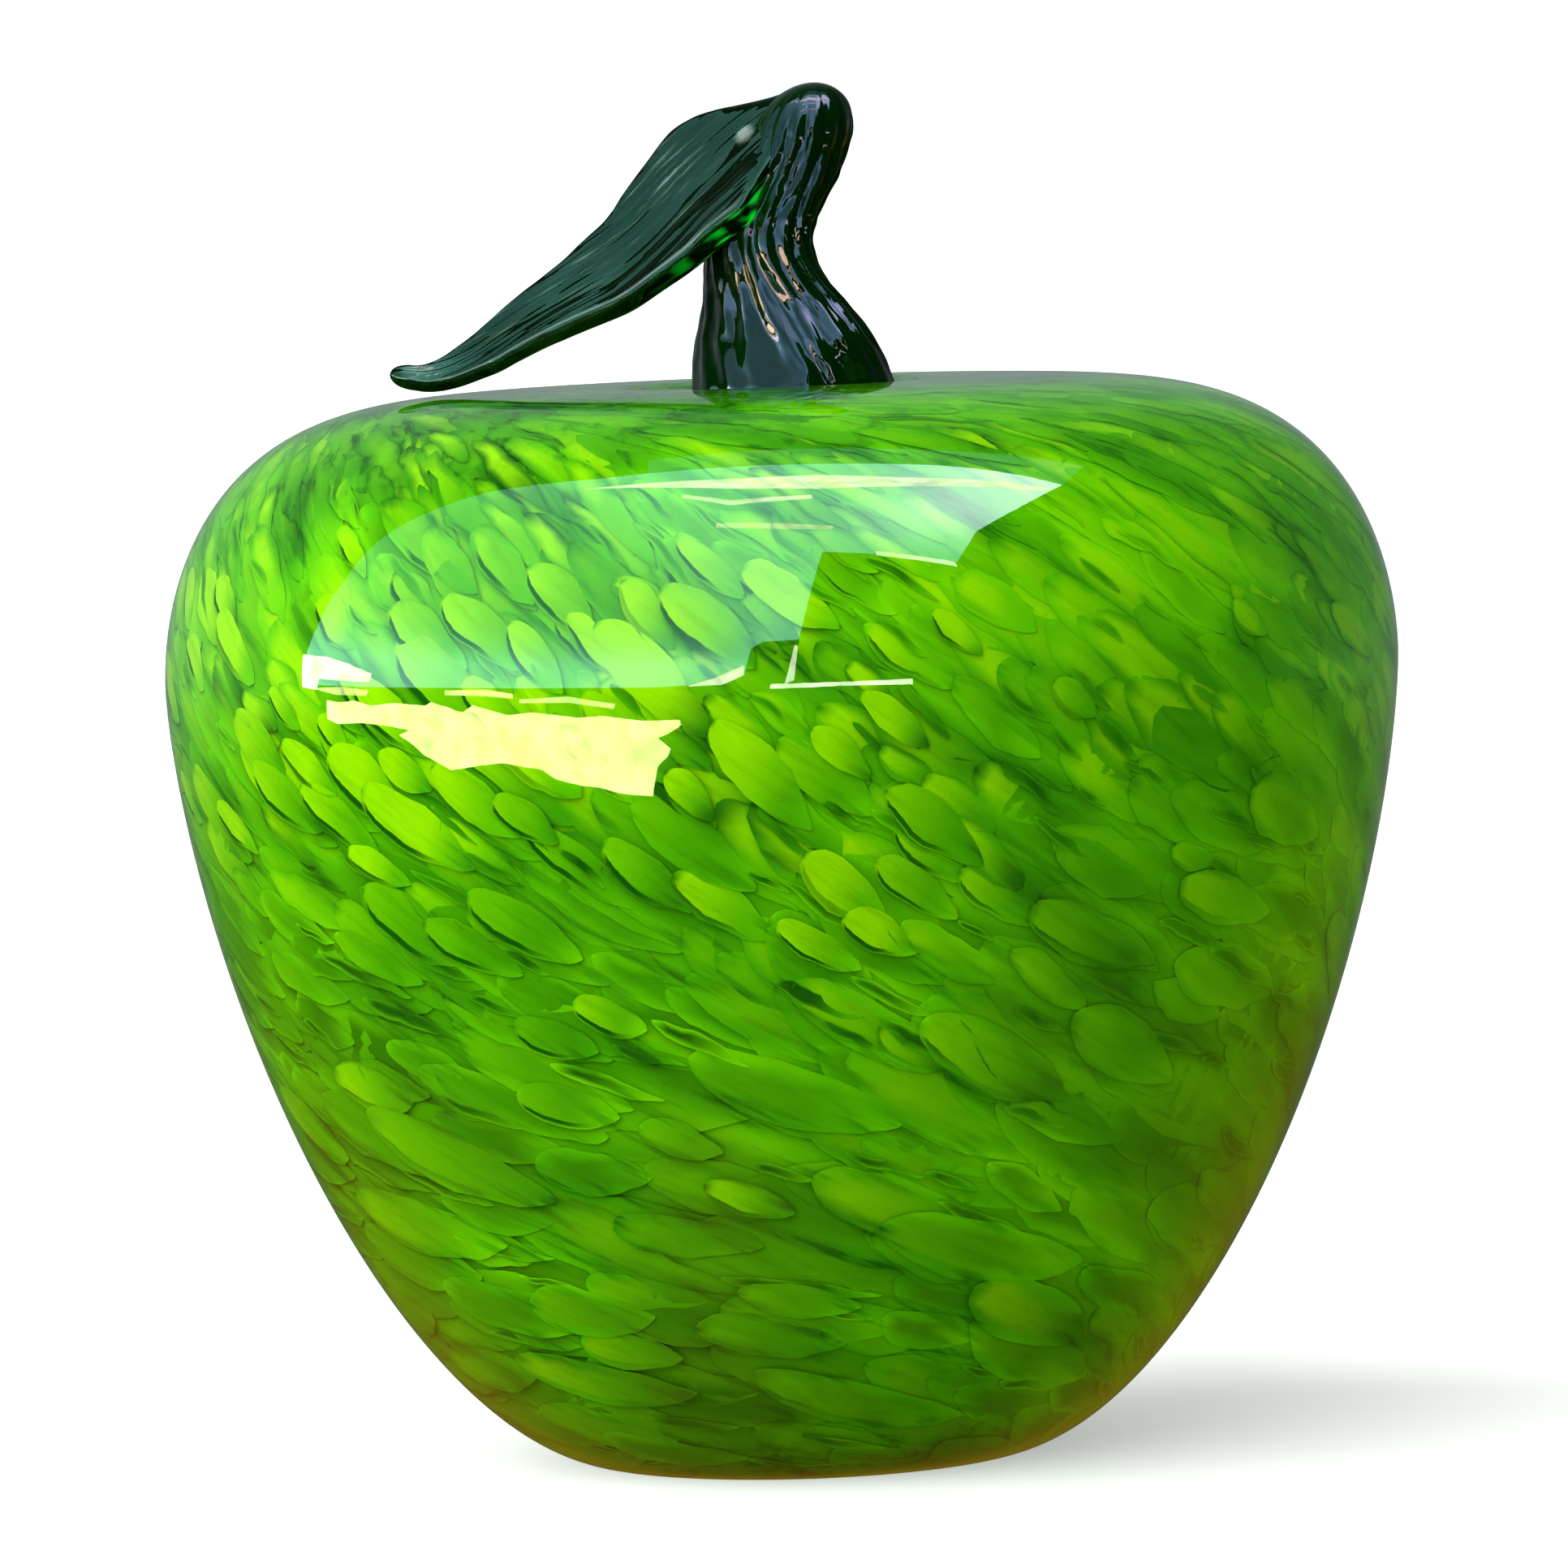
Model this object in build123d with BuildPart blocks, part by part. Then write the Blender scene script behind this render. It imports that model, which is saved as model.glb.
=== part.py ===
# Blown art glass apple: three fused shells of glass, a fluted stem and a drawn leaf.
# Millimetres, +Z up, origin on the axis at the middle of the flat base, the leaf toward -X, the front at -Y.
import os
from math import copysign, cos, pi, radians, sin

from build123d import *

os.makedirs("parts", exist_ok=True)

# Outline of the body: base, girth, crest ring and the dimple inside that ring
BASE_RADIUS = 22.2
GIRTH_RADIUS = 67.3
GIRTH_HEIGHT = 86.4
CREST_RADIUS = 19.0
CREST_HEIGHT = 117.5
DIMPLE_DEPTH = 2.7

# How full the two quarters of the outline are, as exponents of their curves
LOWER_RISE = 1.53
LOWER_FULLNESS = 0.578
UPPER_RISE = 1.98
UPPER_FULLNESS = 3.9
OUTLINE_STEPS = 12
DIMPLE_STEPS = 4

# Walls of the glass layers, from the skin inwards, and the thick floor under them
CASING_WALL = 3.0
COLOUR_WALL = 1.0
BUBBLE_WALL = 2.5
CASING_FLOOR = 6.0

# Crack-off hole at the crown and the polished punty hollow in the base
BORE_RADIUS = 5.0
PUNTY_RADIUS = 12.0
PUNTY_DEPTH = 1.5

# Stem: heights are above the crest, offsets are to the right of the axis
FOOT_BURIED = 2.3
FOOT_OFFSET = 2.45
FOOT_HALF_WIDTH = 11.4
FOOT_HALF_DEPTH = 10.2
INSTEP_HEIGHT = 4.9
INSTEP_OFFSET = 1.45
INSTEP_HALF_WIDTH = 9.6
INSTEP_HALF_DEPTH = 8.2
ANKLE_HEIGHT = 8.4
ANKLE_OFFSET = 0.6
ANKLE_HALF_WIDTH = 7.9
ANKLE_HALF_DEPTH = 6.8
NECK_HEIGHT = 12.9
NECK_OFFSET = -0.75
NECK_RADIUS = 6.1
THROAT_HEIGHT = 18.0
THROAT_OFFSET = -0.2
THROAT_RADIUS = 5.7
SHOULDER_HEIGHT = 22.2
SHOULDER_OFFSET = 2.0
SHOULDER_RADIUS = 5.8
KNOB_HEIGHT = 26.7
KNOB_OFFSET = 4.1
KNOB_RADIUS = 5.5
KNOB_LEAN = 1.5
STEM_HEIGHT = 32.5
FLUTES = 14
FLUTE_DEPTH = 0.25
FLUTE_TWIST = 2.0
POINTS_PER_FLUTE = 4
PLUG_DEPTH = 4.0
PLUG_CLEARANCE = 0.1

# Angles at which the rounded ends of the knob and the leaf are cut into sections, in degrees
DOME_ANGLES = (30, 55, 75)

# Leaf: points of its run, each a place to the left and a height above the crest, from root to tip
LEAF_RUN = ((-4.0, 26.9), (5.1, 22.8), (13.4, 15.1), (26.8, 6.9), (38.0, 1.9), (41.6, 2.4))
LEAF_HALF_WIDTH = 8.1
LEAF_HALF_THICKNESS = 2.5
LEAF_TIP_HALF_WIDTH = 1.3
LEAF_TIP_HALF_THICKNESS = 1.1
LEAF_ROOT_HALF_WIDTH = 4.0
LEAF_ROOT_HALF_THICKNESS = 4.2
LEAF_WIDEST = 0.21
LEAF_TIP_START = 0.95
LEAF_TAPER = 1.04
LEAF_TILT = 45.0
LEAF_CUP = 0.4
LEAF_ROUNDING = 0.6
LEAF_SECTIONS = 14
LEAF_SECTION_POINTS = 16

seat_height = CREST_HEIGHT - DIMPLE_DEPTH


def outline(depth, floor):
    """Points from the rim of the floor up to the bore, `depth` inside the skin, standing at `floor`."""
    girth = GIRTH_RADIUS - depth
    crest = CREST_HEIGHT - depth
    points = []
    for step in range(OUTLINE_STEPS + 1):
        angle = pi / 2 * (1 - step / OUTLINE_STEPS)
        radius = BASE_RADIUS + (girth - BASE_RADIUS) * cos(angle) ** (2 * LOWER_FULLNESS)
        points.append((radius, GIRTH_HEIGHT - (GIRTH_HEIGHT - floor) * sin(angle) ** (2 / LOWER_RISE)))
    for step in range(1, OUTLINE_STEPS + 1):
        angle = pi / 2 * step / OUTLINE_STEPS
        radius = CREST_RADIUS + (girth - CREST_RADIUS) * cos(angle) ** (2 / UPPER_FULLNESS)
        points.append((radius, GIRTH_HEIGHT + (crest - GIRTH_HEIGHT) * sin(angle) ** (2 / UPPER_RISE)))
    for step in range(1, DIMPLE_STEPS + 1):
        share = step / DIMPLE_STEPS
        radius = CREST_RADIUS - (CREST_RADIUS - BORE_RADIUS) * share
        points.append((radius, crest - DIMPLE_DEPTH * (1 - cos(pi * share)) / 2))
    return points


colour_depth = CASING_WALL
colour_floor = CASING_FLOOR
bubble_depth = colour_depth + COLOUR_WALL
bubble_floor = colour_floor + COLOUR_WALL
hollow_depth = bubble_depth + BUBBLE_WALL
hollow_floor = bubble_floor + BUBBLE_WALL


def layer_profile(depth, floor, inner_depth, inner_floor):
    """Half section of one layer of glass between two outlines, closed at the bottom and open at the bore."""
    with BuildSketch(Plane.XZ) as profile:
        with BuildLine():
            skin = Spline(*outline(depth, floor))
            lining = Spline(*outline(inner_depth, inner_floor))
            Line(skin @ 1, lining @ 1)
            Polyline(skin @ 0, (0, floor), (0, inner_floor), lining @ 0)
        make_face()
    return profile.sketch


# First gather, blown hollow
with BuildPart() as inner_bubble:
    revolve(layer_profile(bubble_depth, bubble_floor, hollow_depth, hollow_floor), axis=Axis.Z)
inner_bubble.part.label = "inner_bubble"
export_step(inner_bubble.part, "parts/inner_bubble.step")

# Fused layer of coloured frit
with BuildPart() as colour_layer:
    revolve(layer_profile(colour_depth, colour_floor, bubble_depth, bubble_floor), axis=Axis.Z)
colour_layer.part.label = "colour_layer"
export_step(colour_layer.part, "parts/colour_layer.step")

# Clear outer casing, with the punty mark polished out of its base as a shallow hollow
punty_ball = (PUNTY_RADIUS**2 + PUNTY_DEPTH**2) / (2 * PUNTY_DEPTH)
with BuildPart() as clear_casing:
    revolve(layer_profile(0, 0, colour_depth, colour_floor), axis=Axis.Z)
    with Locations((0, 0, PUNTY_DEPTH - punty_ball)):
        Sphere(punty_ball, mode=Mode.SUBTRACT)
clear_casing.part.label = "clear_casing"
export_step(clear_casing.part, "parts/clear_casing.step")

# The room that the body takes up, bore included: the stem's foot is shaped by it
with BuildPart() as body_room:
    with BuildSketch(Plane.XZ):
        with BuildLine():
            skin = Spline(*outline(0, 0))
            Polyline(skin @ 1, (0, seat_height), (0, 0), skin @ 0)
        make_face()
    revolve(axis=Axis.Z)


def stem_section(height, offset, half_width, half_depth, flute):
    """A level section of the stem: an ellipse with shallow flutes that turn slowly with the height."""
    with BuildSketch(Plane.XY.offset(CREST_HEIGHT + height)) as section:
        with BuildLine():
            points = []
            count = FLUTES * POINTS_PER_FLUTE
            for step in range(count):
                angle = 2 * pi * step / count
                wave = flute * cos(FLUTES * angle + radians(FLUTE_TWIST * height))
                points.append((offset + (half_width + wave) * cos(angle), (half_depth + wave) * sin(angle)))
            Spline(*points, periodic=True)
        make_face()
    return section.sketch


# Stem: foot, instep, neck, throat and knob, then a dome over the knob
stem_sections = [
    stem_section(-DIMPLE_DEPTH - FOOT_BURIED, FOOT_OFFSET, FOOT_HALF_WIDTH, FOOT_HALF_DEPTH, 0),
    stem_section(0, FOOT_OFFSET, FOOT_HALF_WIDTH, FOOT_HALF_DEPTH, FLUTE_DEPTH / 2),
    stem_section(INSTEP_HEIGHT, INSTEP_OFFSET, INSTEP_HALF_WIDTH, INSTEP_HALF_DEPTH, FLUTE_DEPTH),
    stem_section(ANKLE_HEIGHT, ANKLE_OFFSET, ANKLE_HALF_WIDTH, ANKLE_HALF_DEPTH, FLUTE_DEPTH),
    stem_section(NECK_HEIGHT, NECK_OFFSET, NECK_RADIUS, NECK_RADIUS, FLUTE_DEPTH),
    stem_section(THROAT_HEIGHT, THROAT_OFFSET, THROAT_RADIUS, THROAT_RADIUS, FLUTE_DEPTH),
    stem_section(SHOULDER_HEIGHT, SHOULDER_OFFSET, SHOULDER_RADIUS, SHOULDER_RADIUS, FLUTE_DEPTH),
]
for dome_angle in (0, *DOME_ANGLES):
    stem_sections.append(
        stem_section(
            KNOB_HEIGHT + (STEM_HEIGHT - KNOB_HEIGHT) * sin(radians(dome_angle)),
            KNOB_OFFSET + KNOB_LEAN * sin(radians(dome_angle)),
            KNOB_RADIUS * cos(radians(dome_angle)),
            KNOB_RADIUS * cos(radians(dome_angle)),
            FLUTE_DEPTH * cos(radians(dome_angle)) / 2,
        )
    )
stem_top = Vertex(KNOB_OFFSET + KNOB_LEAN, 0, CREST_HEIGHT + STEM_HEIGHT)

with BuildPart() as stem:
    loft(sections=stem_sections + [stem_top])
    add(body_room.part, mode=Mode.SUBTRACT)
    with BuildSketch(Plane.XY.offset(seat_height)):
        Circle(BORE_RADIUS - PLUG_CLEARANCE)
    extrude(amount=-PLUG_DEPTH)
stem.part.label = "stem"
export_step(stem.part, "parts/stem.step")

# Leaf: cupped sections square to its run, which goes down to the left and curls up at the tip
leaf_run = Spline(*[(-left, 0, CREST_HEIGHT + height) for left, height in LEAF_RUN])
toward_viewer = Vector(0, -1, 0)


def swell(share):
    """A smooth step from 0 at the root to 1 where the leaf is widest."""
    step = min(share / LEAF_WIDEST, 1)
    return step * step * (3 - 2 * step)


def taper(share):
    """How much of the blade is left past its widest place: 1 there and 0 where the tip starts."""
    rest = min((LEAF_TIP_START - share) / (LEAF_TIP_START - LEAF_WIDEST), 1)
    return rest**LEAF_TAPER


def leaf_section(share, size):
    """A section across the leaf at a share of its run, its near edge tipped down toward the viewer."""
    left = taper(min(share, LEAF_TIP_START))
    blade_width = LEAF_TIP_HALF_WIDTH + (LEAF_HALF_WIDTH - LEAF_TIP_HALF_WIDTH) * left
    blade_thickness = LEAF_TIP_HALF_THICKNESS + (LEAF_HALF_THICKNESS - LEAF_TIP_HALF_THICKNESS) * left
    half_width = size * (LEAF_ROOT_HALF_WIDTH + (blade_width - LEAF_ROOT_HALF_WIDTH) * swell(share))
    half_thickness = size * (
        LEAF_ROOT_HALF_THICKNESS + (blade_thickness - LEAF_ROOT_HALF_THICKNESS) * swell(share)
    )
    cup = LEAF_CUP * swell(share) * left
    along = leaf_run.tangent_at(share)
    above = along.cross(toward_viewer)
    across = toward_viewer * cos(radians(LEAF_TILT)) - above * sin(radians(LEAF_TILT))
    with BuildSketch(Plane(origin=leaf_run.position_at(share), x_dir=across, z_dir=along)) as section:
        with BuildLine():
            points = []
            for step in range(LEAF_SECTION_POINTS):
                angle = 2 * pi * step / LEAF_SECTION_POINTS
                side = copysign(abs(cos(angle)) ** LEAF_ROUNDING, cos(angle))
                face = copysign(abs(sin(angle)) ** LEAF_ROUNDING, sin(angle))
                points.append((half_width * side, half_thickness * face + size * cup * side**2))
            Spline(*points, periodic=True)
        make_face()
    return section.sketch


leaf_sections = [leaf_section(LEAF_TIP_START * step / LEAF_SECTIONS, 1) for step in range(LEAF_SECTIONS + 1)]
for tip_angle in DOME_ANGLES:
    tip_share = LEAF_TIP_START + (1 - LEAF_TIP_START) * sin(radians(tip_angle))
    leaf_sections.append(leaf_section(tip_share, cos(radians(tip_angle))))
leaf_tip = Vertex(*leaf_run.position_at(1))

with BuildPart() as leaf:
    loft(sections=leaf_sections + [leaf_tip])
    add(stem.part, mode=Mode.SUBTRACT)
leaf.part.label = "leaf"
export_step(leaf.part, "parts/leaf.step")
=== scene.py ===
# %% [markdown]
# # A blown glass apple
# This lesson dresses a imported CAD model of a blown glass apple: a hollow body cased in clear glass over
# a layer of green frit, a fluted stem and a drawn leaf of dark green glass. The CAD model is loaded as
# a fixed frame in metres, and every piece made here sits in that frame, so nothing has to be fitted by
# eye.

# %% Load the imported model
import math

import bmesh
import bpy
import numpy as np
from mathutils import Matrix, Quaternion, Vector, noise


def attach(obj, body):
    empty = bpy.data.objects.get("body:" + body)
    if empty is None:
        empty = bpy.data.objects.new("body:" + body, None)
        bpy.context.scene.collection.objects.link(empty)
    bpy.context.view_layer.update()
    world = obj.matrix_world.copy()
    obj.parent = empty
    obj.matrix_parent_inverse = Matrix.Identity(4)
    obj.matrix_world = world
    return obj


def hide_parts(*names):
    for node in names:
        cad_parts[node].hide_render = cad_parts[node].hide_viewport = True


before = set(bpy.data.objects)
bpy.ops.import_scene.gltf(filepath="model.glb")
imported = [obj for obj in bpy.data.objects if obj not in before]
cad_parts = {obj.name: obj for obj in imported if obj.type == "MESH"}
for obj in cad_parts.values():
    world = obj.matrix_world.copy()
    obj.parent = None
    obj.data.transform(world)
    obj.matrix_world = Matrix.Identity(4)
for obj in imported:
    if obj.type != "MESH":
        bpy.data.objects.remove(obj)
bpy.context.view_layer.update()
scene = bpy.context.scene
scene.view_settings.view_transform = "Standard"
MM = 0.001

# %% [markdown]
# The camera stands a little above the girth and far away, so the apple is seen with hardly any
# perspective. Its place and its lens were found by laying the outline of the CAD model over a picture
# of the real apple. That picture is not quite level, so the camera is rolled two degrees.

# %% Camera
PICTURE_WIDTH = 1932
FOCAL_PIXELS = 13371
SENSOR_WIDTH = 36.0
CAMERA_PLACE = Vector((-0.2, -1184.0, 149.6)) * MM
CAMERA_AIM = Vector((-0.2, 0.0, 73.6)) * MM
CAMERA_ROLL = math.radians(-2.0)

camera_data = bpy.data.cameras.new("photo_camera")
camera_data.sensor_width = SENSOR_WIDTH
camera_data.lens = SENSOR_WIDTH * FOCAL_PIXELS / PICTURE_WIDTH
camera = bpy.data.objects.new("photo_camera", camera_data)
scene.collection.objects.link(camera)
camera.location = CAMERA_PLACE
camera.rotation_mode = "QUATERNION"
look = (CAMERA_AIM - CAMERA_PLACE).to_track_quat("-Z", "Y")
camera.rotation_quaternion = look @ Quaternion((0, 0, 1), CAMERA_ROLL)
scene.camera = camera
print("lens:", round(camera_data.lens, 1), "mm")

# %% [markdown]
# A few small helpers keep the node trees readable. One adds a node with its settings and inputs. Others
# wire a sum or product, a smooth step from one range to another, a ramp of colours, a mix, a noise or a
# value that a mesh has stored. An input may be given as a plain value or as the output of another node,
# which is then linked to it.

# %% Helpers for node trees
def put(tree, kind, inputs=None, **settings):
    """A node of this kind, with its settings, and its inputs set or linked by name or place."""
    node = tree.nodes.new(kind)
    for name, value in settings.items():
        setattr(node, name, value)
    for key, value in (inputs or {}).items():
        if isinstance(value, bpy.types.NodeSocket):
            tree.links.new(value, node.inputs[key])
        else:
            node.inputs[key].default_value = value
    return node


def calc(tree, operation, *values, clamp=False):
    """The output of a Math node."""
    node = put(tree, "ShaderNodeMath", dict(enumerate(values)), operation=operation)
    node.use_clamp = clamp
    return node.outputs[0]


def vector(tree, operation, *values):
    """The output of a Vector Math node: a number for a length or dot product, else a vector."""
    node = put(tree, "ShaderNodeVectorMath", dict(enumerate(values)), operation=operation)
    return node.outputs["Value" if operation in ("LENGTH", "DOT_PRODUCT") else "Vector"]


def rise(tree, value, low, high, out_low=0.0, out_high=1.0):
    """The value mapped smoothly from one range to another, held at the ends."""
    node = put(tree, "ShaderNodeMapRange", {0: value, 1: low, 2: high, 3: out_low, 4: out_high})
    node.interpolation_type = "SMOOTHSTEP"
    return node.outputs[0]


def ramp(tree, factor, *stops):
    """The colour at this factor on a ramp of (place, (red, green, blue)) stops."""
    node = put(tree, "ShaderNodeValToRGB", {0: factor})
    spots = node.color_ramp.elements
    while len(spots) < len(stops):
        spots.new(1.0)
    for spot, (place, colour) in zip(spots, stops):
        spot.position, spot.color = place, (*colour, 1.0)
    return node.outputs[0]


def blend(tree, factor, first, second, kind="MIX"):
    """Two colours mixed by a factor."""
    node = put(tree, "ShaderNodeMix", {0: factor, 6: first, 7: second}, data_type="RGBA", blend_type=kind)
    return node.outputs[2]


def own_point(tree):
    """The object's own coordinates."""
    return put(tree, "ShaderNodeTexCoord").outputs["Object"]


def parts_of(tree, point):
    """The three numbers of a vector, by the names X, Y and Z."""
    return put(tree, "ShaderNodeSeparateXYZ", {0: point}).outputs


def cloudy(tree, point, scale, detail=2.0, roughness=0.5):
    """A noise between 0 and 1 at these coordinates."""
    return put(tree, "ShaderNodeTexNoise", {
        "Vector": point, "Scale": scale, "Detail": detail, "Roughness": roughness}).outputs[0]


def stored(tree, name):
    """The number that a mesh has stored under this name."""
    return put(tree, "ShaderNodeAttribute", attribute_name=name).outputs["Fac"]


def finish_named(name):
    """A new material with an empty tree: (material, tree, its output node)."""
    material = bpy.data.materials.new(name)
    material.use_nodes = True
    material.node_tree.nodes.clear()
    return material, material.node_tree, put(material.node_tree, "ShaderNodeOutputMaterial")


def add_mesh(name, mesh):
    """An object for a mesh, linked to the scene, at the origin."""
    made = bpy.data.objects.new(name, mesh)
    scene.collection.objects.link(made)
    return made


# %% [markdown]
# The studio is a pale floor under a soft key light from the upper left and an even fill. The camera
# sees white all round. Polished glass shows what is round it, so the room that the gloss sees is dim in
# front and to the right, a little brighter behind, and warm below, as over a table. That keeps the
# green deep and gives the glass an edge. A white backdrop would lay a milky veil over the whole body.

# %% World and key light
FILL = 0.36
KEY_ENERGY = 3.9
KEY_SPREAD = math.radians(90)
KEY_FROM = Vector((-0.72, -0.60, 0.74))
PURE_WHITE = (1, 1, 1, 1)

world = bpy.data.worlds.new("studio")
scene.world = world
world.use_nodes = True
air = world.node_tree
air.nodes.clear()
path = put(air, "ShaderNodeLightPath").outputs
toward = put(air, "ShaderNodeTexCoord").outputs["Generated"]
away = parts_of(air, toward)
behind = rise(air, away["Y"], -0.1, 0.75, 0.04, 1.0)
to_right = calc(air, "MULTIPLY", rise(air, away["X"], 0.05, 0.4), rise(air, away["Z"], -0.15, 0.05))
behind = calc(air, "MULTIPLY", behind, calc(air, "MULTIPLY_ADD", to_right, -0.6, 1.0))
room = ramp(air, calc(air, "MULTIPLY_ADD", away["Z"], 0.5, 0.5),
            (0.0, (0.16, 0.09, 0.01)), (0.28, (0.32, 0.18, 0.01)), (0.36, (0.22, 0.14, 0.01)),
            (0.42, (0.10, 0.11, 0.05)), (0.50, (0.25, 0.29, 0.30)), (0.62, (0.22, 0.28, 0.27)),
            (0.85, (0.12, 0.16, 0.14)), (1.0, (0.05, 0.07, 0.06)))
room = blend(air, 1.0, room, behind, "MULTIPLY")
backdrop = calc(air, "MULTIPLY", rise(air, away["Y"], 0.9, 0.98), path["Is Transmission Ray"])
room = blend(air, backdrop, room, PURE_WHITE)
mirrored = calc(air, "MAXIMUM", path["Is Glossy Ray"], path["Is Transmission Ray"])
fill = calc(air, "MULTIPLY", rise(air, away["Z"], -0.4, 1.0, 0.7, 1.35), FILL)
seen = put(air, "ShaderNodeBackground", {"Color": PURE_WHITE, "Strength": 1.0})
room_light = put(air, "ShaderNodeBackground", {"Color": room, "Strength": 1.0})
fill_light = put(air, "ShaderNodeBackground", {"Color": PURE_WHITE, "Strength": fill})
unseen = put(air, "ShaderNodeMixShader", {0: mirrored, 1: fill_light.outputs[0], 2: room_light.outputs[0]})
whole = put(air, "ShaderNodeMixShader", {
    0: path["Is Camera Ray"], 1: unseen.outputs[0], 2: seen.outputs[0]})
put(air, "ShaderNodeOutputWorld", {0: whole.outputs[0]})

key_data = bpy.data.lights.new("key", "SUN")
key_data.energy = KEY_ENERGY
key_data.angle = KEY_SPREAD
key = bpy.data.objects.new("key", key_data)
scene.collection.objects.link(key)
key.rotation_mode = "QUATERNION"
key.rotation_quaternion = KEY_FROM.to_track_quat("Z", "Y")
key.visible_glossy = False
print("fill", FILL, "key", KEY_ENERGY)

# %% [markdown]
# The floor is one large pale sheet, lit by the same lights, so the apple's soft shadow lies on it. A
# little glow of its own, which only the camera sees, keeps the shadow light.

# %% Floor
REACH = 60.0
floor_mesh = bpy.data.meshes.new("floor")
floor_mesh.from_pydata([(-REACH, -REACH, 0), (REACH, -REACH, 0), (REACH, REACH, 0), (-REACH, REACH, 0)],
                       [], [(0, 1, 2, 3)])
floor = add_mesh("floor", floor_mesh)
pale, sheet, sheet_out = finish_named("pale_floor")
grain = put(sheet, "ShaderNodeTexNoise", {"Scale": 40.0})
tint = ramp(sheet, grain.outputs[0], (0.3, (0.96, 0.96, 0.96)), (0.7, (0.98, 0.98, 0.98)))
floor_path = put(sheet, "ShaderNodeLightPath").outputs
flat = put(sheet, "ShaderNodeBsdfDiffuse", {
    "Color": blend(sheet, floor_path["Is Diffuse Ray"], tint, (0.45, 0.45, 0.45, 1))})
glow_seen = calc(sheet, "MULTIPLY", floor_path["Is Camera Ray"], 0.32)
lift = put(sheet, "ShaderNodeEmission", {"Strength": glow_seen})
lifted = put(sheet, "ShaderNodeAddShader", {0: flat.outputs[0], 1: lift.outputs[0]})
sheet.links.new(lifted.outputs[0], sheet_out.inputs[0])
pale.cycles.emission_sampling = "NONE"
floor_mesh.materials.append(pale)
floor.visible_glossy = False
print("floor:", 2 * REACH, "m across")

# %% [markdown]
# The brightest thing on the body is the mirror image of a broad soft light overhead. Here it is a flat
# panel that only the gloss sees. A panel that also lit the apple would wash out the colour of the frit.
# Narrow strips, a pale line low in front and a warm card below it give the smaller glints.

# %% Panels that the gloss mirrors
def panel(name, corners, colour, strength):
    """A flat glowing sheet through these corners, in metres, which only mirror reflections see."""
    mesh = bpy.data.meshes.new(name)
    mesh.from_pydata([Vector(corner) for corner in corners], [], [tuple(range(len(corners)))])
    made = add_mesh(name, mesh)
    glow, tree, out = finish_named(name)
    blotches = cloudy(tree, vector(tree, "NORMALIZE", own_point(tree)), 14.0, 4.0, 0.7)
    uneven = calc(tree, "MULTIPLY", rise(tree, blotches, 0.3, 0.7, 0.7, 1.25), strength)
    light = put(tree, "ShaderNodeEmission", {"Color": (*colour, 1.0), "Strength": uneven})
    tree.links.new(light.outputs[0], out.inputs[0])
    glow.cycles.emission_sampling = "NONE"
    mesh.materials.append(glow)
    for kind in ("camera", "diffuse", "transmission", "shadow"):
        setattr(made, "visible_" + kind, False)
    return made


BODY_MIDDLE = 0.1
OVERHEAD = BODY_MIDDLE + 1.0


def overhead(name, corners, colour, strength, drop=0.0):
    """A panel that lies flat overhead, its corners given as (right, back) in metres."""
    return panel(name, [(x, y, OVERHEAD - drop) for x, y in corners], colour, strength)


def upright(name, distance, corners, colour, strength):
    """A panel round the front at this distance, its corners given as degrees (round to the right, up)."""
    places = []
    for turn, lift in corners:
        a, e = math.radians(turn), math.radians(lift)
        level = distance * math.cos(e)
        places.append((level * math.sin(a), -level * math.cos(a), distance * math.sin(e) + BODY_MIDDLE))
    panel(name, places, colour, strength)


NEAR, FAR = 6.5, 30.0
MINT, WHITE, WARM = (0.42, 0.97, 0.90), (1.0, 1.0, 0.80), (1.0, 0.93, 0.40)
broad = overhead("broad_light", (
    (0.68, 0.05), (0.29, 0.11), (-0.01, 0.11), (-0.33, 0.10), (-0.59, 0.18), (-1.23, 0.22), (-2.09, 0.26),
    (-4.23, 0.59), (-15.9, 2.8), (-38.7, 6.3), (-29.9, -3.7), (-22.2, -11.6), (-9.4, -20.8), (-4.0, -18.2),
    (-1.2, -10.2), (-0.39, -4.1), (-0.2, -3.5), (0.21, -3.45), (0.17, -0.93), (0.79, -0.99), (0.67, -0.58),
    (0.68, -0.29)), MINT, 1.0)
glow_tree = broad.data.materials[0].node_tree
glow_point = own_point(glow_tree)
glow_place = parts_of(glow_tree, glow_point)
right_way = rise(glow_tree, glow_place["X"], -0.8, 0.0, 1.6, 5.2)
corner = calc(glow_tree, "MULTIPLY", rise(glow_tree, glow_place["X"], 0.05, 0.5),
              rise(glow_tree, glow_place["Y"], -1.0, -0.3))
far_off = rise(glow_tree, vector(glow_tree, "LENGTH", glow_point), 2.0, 7.0, 0.0, 5.0)
strength = calc(glow_tree, "MULTIPLY_ADD", corner, 7.0, calc(glow_tree, "ADD", right_way, far_off))
emitter = next(node for node in glow_tree.nodes if node.type == "EMISSION")
glow_tree.links.new(strength, emitter.inputs["Strength"])
glow_tree.links.new(blend(glow_tree, corner, (*MINT, 1), (0.75, 0.97, 1.0, 1)), emitter.inputs["Color"])
overhead("dim_strip", ((0.63, 0.30), (0.25, 0.31), (0.0, 0.34), (-0.20, 0.28), (-0.23, 0.10), (0.13, 0.12),
                       (0.68, 0.05)), MINT, 0.8)
overhead("strip_near", ((-0.39, 0.0), (-0.08, -0.045), (0.08, -0.035), (0.25, -0.055), (0.66, -0.005),
                        (0.65, -0.055), (0.27, -0.155), (0.09, -0.195), (-0.09, -0.16)), WHITE, 14.0, 0.01)
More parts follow.
